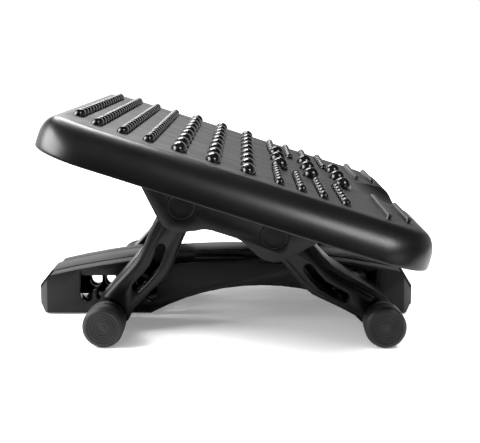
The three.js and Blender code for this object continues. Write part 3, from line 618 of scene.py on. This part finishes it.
def domed(name, u, y, half_width, half_length, height):
    """One bead: an oval stub that ends in a round dome."""
    foot = tread_height + insert_foot
    rings = [[on_platform(a, b, foot) for a, b in oval_outline(u, y, half_width, half_length)]]
    neck = max(0.6, height - half_width - 0.4)
    for rise in dome_rises:
        share = math.cos(math.radians(rise))
        oval = oval_outline(u, y, half_width * share, half_length * share)
        top = tread_height + neck + (height - neck) * math.sin(math.radians(rise))
        rings.append([on_platform(a, b, top) for a, b in oval])
    return smoothed(lofted(name, rings), 50)


def down_the_slope(piece, stem, places, first=1):
    """A piece at the first of some places and its copies at the others, with their numbers."""
    row = [(first, piece)]
    for number, place in enumerate(places[1:], first + 1):
        shift = on_platform(place - places[0], 0, 0) - on_platform(0, 0, 0)
        row.append((number, copied(piece, f"{stem}_{number}", shift)))
    return row


def strung_across(piece, name, count, pitch, string):
    """A piece and its copies at a pitch across the platform, joined into one string."""
    copies = [copied(piece, name, (0, pitch * order * mm, 0)) for order in range(1, count)]
    return joined(string, [piece, *copies])


def make_inserts():
    """The ribbed bars, the rows of beads, the ribs at both sides and the big beads between them."""
    short_bar = ribbed_insert("toe_bar_1", bar_places[0], -short_bar_reach, short_bar_reach,
                              bar_half_width, bar_height, short_bar_ribs, bar_groove)
    placed(short_bar, "platform", "gloss_black", "ribbed_bar_1")
    long_bar = ribbed_insert("toe_bar_2", bar_places[1], -long_bar_reach, long_bar_reach,
                             bar_half_width, bar_height, long_bar_ribs, bar_groove)
    for number, bar in down_the_slope(long_bar, "toe_bar", bar_places[1:], 2):
        placed(bar, "platform", "gloss_black", f"ribbed_bar_{number}")

    first = -bead_pitch * (bead_count - 1) / 2
    bead = domed("bead", bead_row_places[0], first, bead_half_width, bead_half_length, bead_height)
    string = strung_across(bead, "bead", bead_count, bead_pitch, "bead_string_1")
    for number, row in down_the_slope(string, "bead_string", bead_row_places):
        placed(row, "platform", "gloss_black", f"bead_row_{number}")

    rib = ribbed_insert("side_rib_near_1", side_rod_places[0], -side_rod_span[1], -side_rod_span[0],
                        side_rod_half_width, side_rod_height, side_rod_ribs, side_rod_groove)
    for number, near in down_the_slope(rib, "side_rib_near", side_rod_places):
        far = copied(near, f"side_rib_far_{number}", mirrored=True)
        placed(near, "platform", "gloss_black", f"side_rod_near_{number}")
        placed(far, "platform", "gloss_black", f"side_rod_far_{number}")

    big = domed("big_bead", big_bead_places[0], -big_bead_pitch, big_bead_radius, big_bead_radius, big_bead_height)
    trio = strung_across(big, "big_bead", 3, big_bead_pitch, "big_bead_string_1")
    for number, row in down_the_slope(trio, "big_bead_string", big_bead_places):
        placed(row, "platform", "gloss_black", f"big_bead_row_{number}")


# Feet: rods, hubs and rubber caps with ringed faces. Stations of the near side, as y and radius.
rod_stations = [(-150, 5.9), (-149.4, 6.5), (149.4, 6.5), (150, 5.9)]
hub_stations = [(-139.7, 17.9), (-139.2, 18.6), (-138.3, 19.0), (-129.2, 19.0), (-128.4, 18.6), (-128.0, 17.9),
                (-128.0, 12.6), (-127.6, 12.0), (-96.6, 12.0)]
cap_stations = [(-140.0, 18.2), (-140.5, 19.0), (-141.2, 19.4), (-142, 19.5), (-150.4, 19.5), (-151.8, 19.2),
                (-153.2, 18.2), (-154.2, 17.0), (-154.8, 15.9), (-154.95, 15.2), (-154.3, 14.8), (-154.2, 14.2)]
for radius in (12.6, 10.2, 7.8, 5.4):
    cap_stations += [(-154.2, radius + 0.75), (-154.85, radius + 0.25), (-154.85, radius - 0.55),
                     (-154.2, radius - 1.05)]
cap_stations += [(-154.2, 3.0), (-154.7, 2.4), (-154.8, 1.2)]
bore_radius = 6.9


def make_foot(side):
    x, z = leg_rods[side]
    body = f"{side}_foot"
    rod = drum(f"{side}_rod_turned", x, z, rod_stations, 48)
    placed(smoothed(rod), body, "steel_grey", f"{side}_foot_rod")
    hub = drum(f"{side}_hub_near_turned", x, z, hub_stations)
    smoothed(carved(hub, drum("hub_bore", x, z, [(-160, bore_radius), (-90, bore_radius)], 48)))
    cap = drum(f"{side}_cap_near_turned", x, z, cap_stations)
    smoothed(carved(cap, drum("cap_bore", x, z, [(-150.3, bore_radius), (-130, bore_radius)], 48)))
    for form, node, finish in ((hub, "hub", "satin_black"), (cap, "cap", "rubber_black")):
        far = smoothed(copied(form, f"{side}_{node}_far_turned", mirrored=True))
        placed(form, body, finish, f"{side}_foot_{node}_near")
        placed(far, body, finish, f"{side}_foot_{node}_far")


# Legs: shares of the leg's length and of its depth, as s along the leg and w outwards
outer_shares = [(0.2, 0.63), (0.354, 0.46), (0.477, 0.38), (0.585, 0.47), (0.708, 0.63), (0.862, 0.73)]
inner_shares = [(0.862, -0.94), (0.775, -1.015), (0.68, -1.14), (0.588, -1.275), (0.52, -1.35), (0.464, -1.36),
                (0.4, -1.28), (0.3, -1.13), (0.2, -1.0), (0.108, -0.9)]
slot_shares = [(0.283, -0.39), (0.38, -0.5), (0.475, -0.575), (0.555, -0.485), (0.631, -0.35)]

# Near plates: how far each side's plate is drawn in, its section as y and a further inset, its slot as y and half
# width, and where it ends round the rod, before the leg's lower end
plate_insets = {"left": 0.5, "right": 5.0}
plate_rows = [(-96.3, 0), (-102.3, 0), (-103.9, 0.35), (-105.2, 1.2), (-106.3, 2.5), (-107.0, 4.0), (-107.3, 5.8)]
plate_slot_rows = [(-90, 4.35), (-105.6, 4.35), (-106.6, 4.8), (-107.35, 5.9), (-112, 5.9)]
rod_end_place = -12

# The web that closes each arm behind the slot: its distances from the middle plane and its half width
web_rows = (51, 54)
web_half_width = 8.4

# Axles and the round covers over the upper pivots
axle_stations = [(-112.4, 4.4), (-111.9, 5.0), (111.9, 5.0), (112.4, 4.4)]
disc_stations = [(-113.3, 13.6), (-115.3, 13.6), (-115.75, 13.3), (-115.95, 12.7), (-115.6, 12.2), (-115.45, 11.6),
                 (-115.5, 6.0), (-115.55, 1.0)]


def leg_line(inset):
    """The leg's outline as smooth points, drawn in by an inset."""
    low = arc(0, -2, 17.5 - inset, -90, -270, 6)
    high = arc(leg_length, -0.8, 17 - inset, 90, -90, 6)
    outer = [(leg_length * s, leg_depth * w - inset) for s, w in outer_shares]
    inner = [(leg_length * s, leg_depth * w + inset) for s, w in inner_shares]
    return rounded_line([*low, *outer, *high, *inner], 4)


def slot_line(half_width):
    """A slot with round ends along its middle line."""
    line = [Vector((leg_length * s, leg_depth * w)) for s, w in slot_shares]
    headings = [math.degrees(math.atan2((b - a).y, (b - a).x)) for a, b in zip(line, line[1:])]
    right, left = [], []
    for i, middle in enumerate(line[1:-1]):
        turn = math.radians((headings[i] + headings[i + 1]) / 2)
        aside = Vector((-math.sin(turn), math.cos(turn))) * half_width
        right.append(middle - aside)
        left.append(middle + aside)
    start = arc(line[0].x, line[0].y, half_width, headings[0] + 90, headings[0] + 270, 10)
    end = arc(line[-1].x, line[-1].y, half_width, headings[-1] - 90, headings[-1] + 90, 10)
    return [*start, *right, *end, *reversed(left)]


def leg_prism(name, side, rows):
    """A form on a leg: each row gives its distance from the middle plane and its outline in s and w."""
    return lofted(name, [[on_leg(side, s, w, y) for s, w in outline] for y, outline in rows])


def make_plates(side):
    """The slotted plates of a leg, with a hole for the axle and a hollow end round the rod."""
    drop = plate_insets[side]
    plate = leg_prism(f"{side}_plate_near_moulded", side, [(y, leg_line(drop + inset)) for y, inset in plate_rows])
    slot = leg_prism("slot_form", side, [(y, slot_line(half)) for y, half in plate_slot_rows])
    rod_end = on_leg(side, rod_end_place, 0, 0)
    top = on_leg(side, leg_length, 0, 0) / mm
    carved(plate, slot, drum("rod_end_form", rod_end.x / mm, rod_end.z / mm, [(-112, 26.5), (-90, 26)], 96),
           drum("axle_hole_form", top.x, top.z, [(-112, 5.4), (-90, 5.4)], 40))
    softened(plate, 0.45, 2, 50)
    smoothed(plate, 40)
    far = smoothed(copied(plate, f"{side}_plate_far_moulded", mirrored=True), 40)
    placed(plate, f"{side}_leg", "satin_black", f"{side}_leg_plate_near")
    placed(far, f"{side}_leg", "satin_black", f"{side}_leg_plate_far")


def make_leg(side):
    for end, sign in (("near", -1), ("far", 1)):
        arm = node_copy(f"{side}_leg_arm_{end}", f"{side}_arm_{end}_moulded", 0.9, 3, 24)
        web = leg_prism("slot_web", side, [(sign * y, slot_line(web_half_width)) for y in web_rows])
        smoothed(carved(arm, web, operation="UNION"))
        placed(arm, f"{side}_leg", "satin_black", f"{side}_leg_arm_{end}")
    make_plates(side)
    axle = drum(f"{side}_axle_turned", *upper_pivots[side], axle_stations, 40)
    placed(smoothed(axle), f"{side}_leg", "steel_grey", f"{side}_leg_axle")


def make_cradles():
    for end in ("near", "far"):
        cradle = node_copy(f"cradle_{end}", f"cradle_{end}_moulded", 0.7, 2, 30)
        placed(cradle, "platform", "satin_black", f"cradle_{end}")
    for side, pivot in upper_pivots.items():
        disc = smoothed(drum(f"pivot_disc_{side}_near", *pivot, disc_stations))
        far = smoothed(copied(disc, f"pivot_disc_{side}_far", mirrored=True))
        placed(disc, "platform", "satin_black", f"pivot_cover_{side}_near")
        placed(far, "platform", "satin_black", f"pivot_cover_{side}_far")


def make_base():
    beam = node_copy("base_beam", "base_beam_moulded", 0.8, 3, 26)
    placed(beam, "base", "satin_black", "base_beam")
    ridge = node_copy("base_cover", "base_ridge_moulded", 0.7, 3, 20)
    placed(ridge, "base", "satin_black", "base_cover")


make_shell()
make_inserts()
for side in ("left", "right"):
    make_foot(side)
    make_leg(side)
make_cradles()
make_base()


# The studio: a pale floor, a white background, a broad ceiling light and four softboxes

photo_width = 480
focal_length_in_pixels = 931.54
picture_shift_in_pixels = -62.3
sensor_width = 36
camera_place = (0.01958, -0.9932, 0.27941)
camera_dip, camera_roll = 0.1207, 0.0045


def add_softbox(name, place, aim, size, energy, mirrored=True):
    """A rectangle of soft light; one that isn't mirrored lights the colours alone."""
    lamp = bpy.data.lights.new(name, "AREA")
    lamp.shape = "RECTANGLE"
    lamp.size, lamp.size_y = size
    lamp.energy = energy
    holder = bpy.data.objects.new(name, lamp)
    bpy.context.scene.collection.objects.link(holder)
    holder.location = place
    holder.visible_glossy = mirrored
    holder.rotation_euler = (Vector(aim) - Vector(place)).to_track_quat("-Z", "Y").to_euler()


def make_floor():
    """White paper as far forward as the picture shows it, and dark before that, where it would light the
    object's front. To the camera it glows to white far off and in front."""
    set_down()
    bpy.ops.mesh.primitive_plane_add(size=30, location=(0, 0, -0.0004))
    floor = rename(bpy.context.object, "studio_floor")
    finish = Finish("floor_paper", Roughness=0.8, Specular_IOR_Level=0.1, Emission_Strength=1.0)
    straight, glossy = finish.seen_rays()
    reach = finish.node("ShaderNodeVectorMath", "Value", {"operation": "LENGTH"}, Vector=finish.place)
    far = reach.raised_over(0.3, 1.0)
    y = finish.axes(finish.place)[1]
    behind = y.raised_over(0.2, 1.5)
    paper = y.raised_over(-0.46, -0.35)
    finish.colour(paper, (0.06, 0.06, 0.06), (0.93, 0.93, 0.93))
    shown = 0.24 + (far * 0.75 + (1 - paper) * 0.7).clamped()
    # Behind the object the floor also glows, but only where glossy surfaces mirror it: painted light that shows in
    # reflections alone.
    finish.set("Emission Color", straight * shown + glossy * behind * 0.3)
    floor.data.materials.append(finish.material)


def make_world():
    """White to the camera. To the object it is a low bright band at the back, brighter on the left."""
    world = bpy.data.worlds.new("studio")
    bpy.context.scene.world = world
    world.use_nodes = True
    pattern = Pattern(world.node_tree)
    straight, _ = pattern.seen_rays()
    right, back, up = pattern.axes(pattern.node("ShaderNodeTexCoord", "Generated"))
    low = 1 - up.raised_over(0.25, 0.45)
    left = 1 - right.raised_over(-0.15, 0.2)
    backdrop = back.raised_over(0.0, 0.5) * low * (0.5 + left * 0.85)
    strength = straight + (1 - straight) * (0.015 + backdrop)
    shade = world.node_tree.nodes["Background"]
    shade.inputs["Color"].default_value = (1, 1, 1, 1)
    world.node_tree.links.new(strength.socket, shade.inputs["Strength"])


def make_camera():
    lens = bpy.data.cameras.new("photo_camera")
    lens.sensor_width = sensor_width
    lens.lens = focal_length_in_pixels / photo_width * sensor_width
    lens.shift_y = picture_shift_in_pixels / photo_width
    holder = bpy.data.objects.new("photo_camera", lens)
    bpy.context.scene.collection.objects.link(holder)
    holder.location = camera_place
    holder.rotation_euler = (math.radians(90) - camera_dip, 0, camera_roll)
    bpy.context.scene.camera = holder


make_floor()
make_world()
add_softbox("ceiling_light", place=(0, -0.3, 2.2), aim=(0, -0.1, 0), size=(3.0, 3.0), energy=105, mirrored=False)
add_softbox("front_softbox", place=(0.86, -0.74, 1.24), aim=(0.12, -0.2, 0.08), size=(0.36, 0.38), energy=13)
add_softbox("right_softbox", place=(1.1, -1.1, 0.4), aim=(0.15, -0.1, 0.1), size=(0.8, 0.5), energy=2)
add_softbox("left_softbox", place=(-1.05, -0.24, 0.8), aim=(-0.15, -0.15, 0.17), size=(1.0, 0.75), energy=34)
add_softbox("key_softbox", place=(-0.3, 1.05, 1.1), aim=(-0.1, -0.1, 0.18), size=(0.75, 0.4), energy=14)
make_camera()
bpy.context.scene.view_settings.view_transform = "Standard"
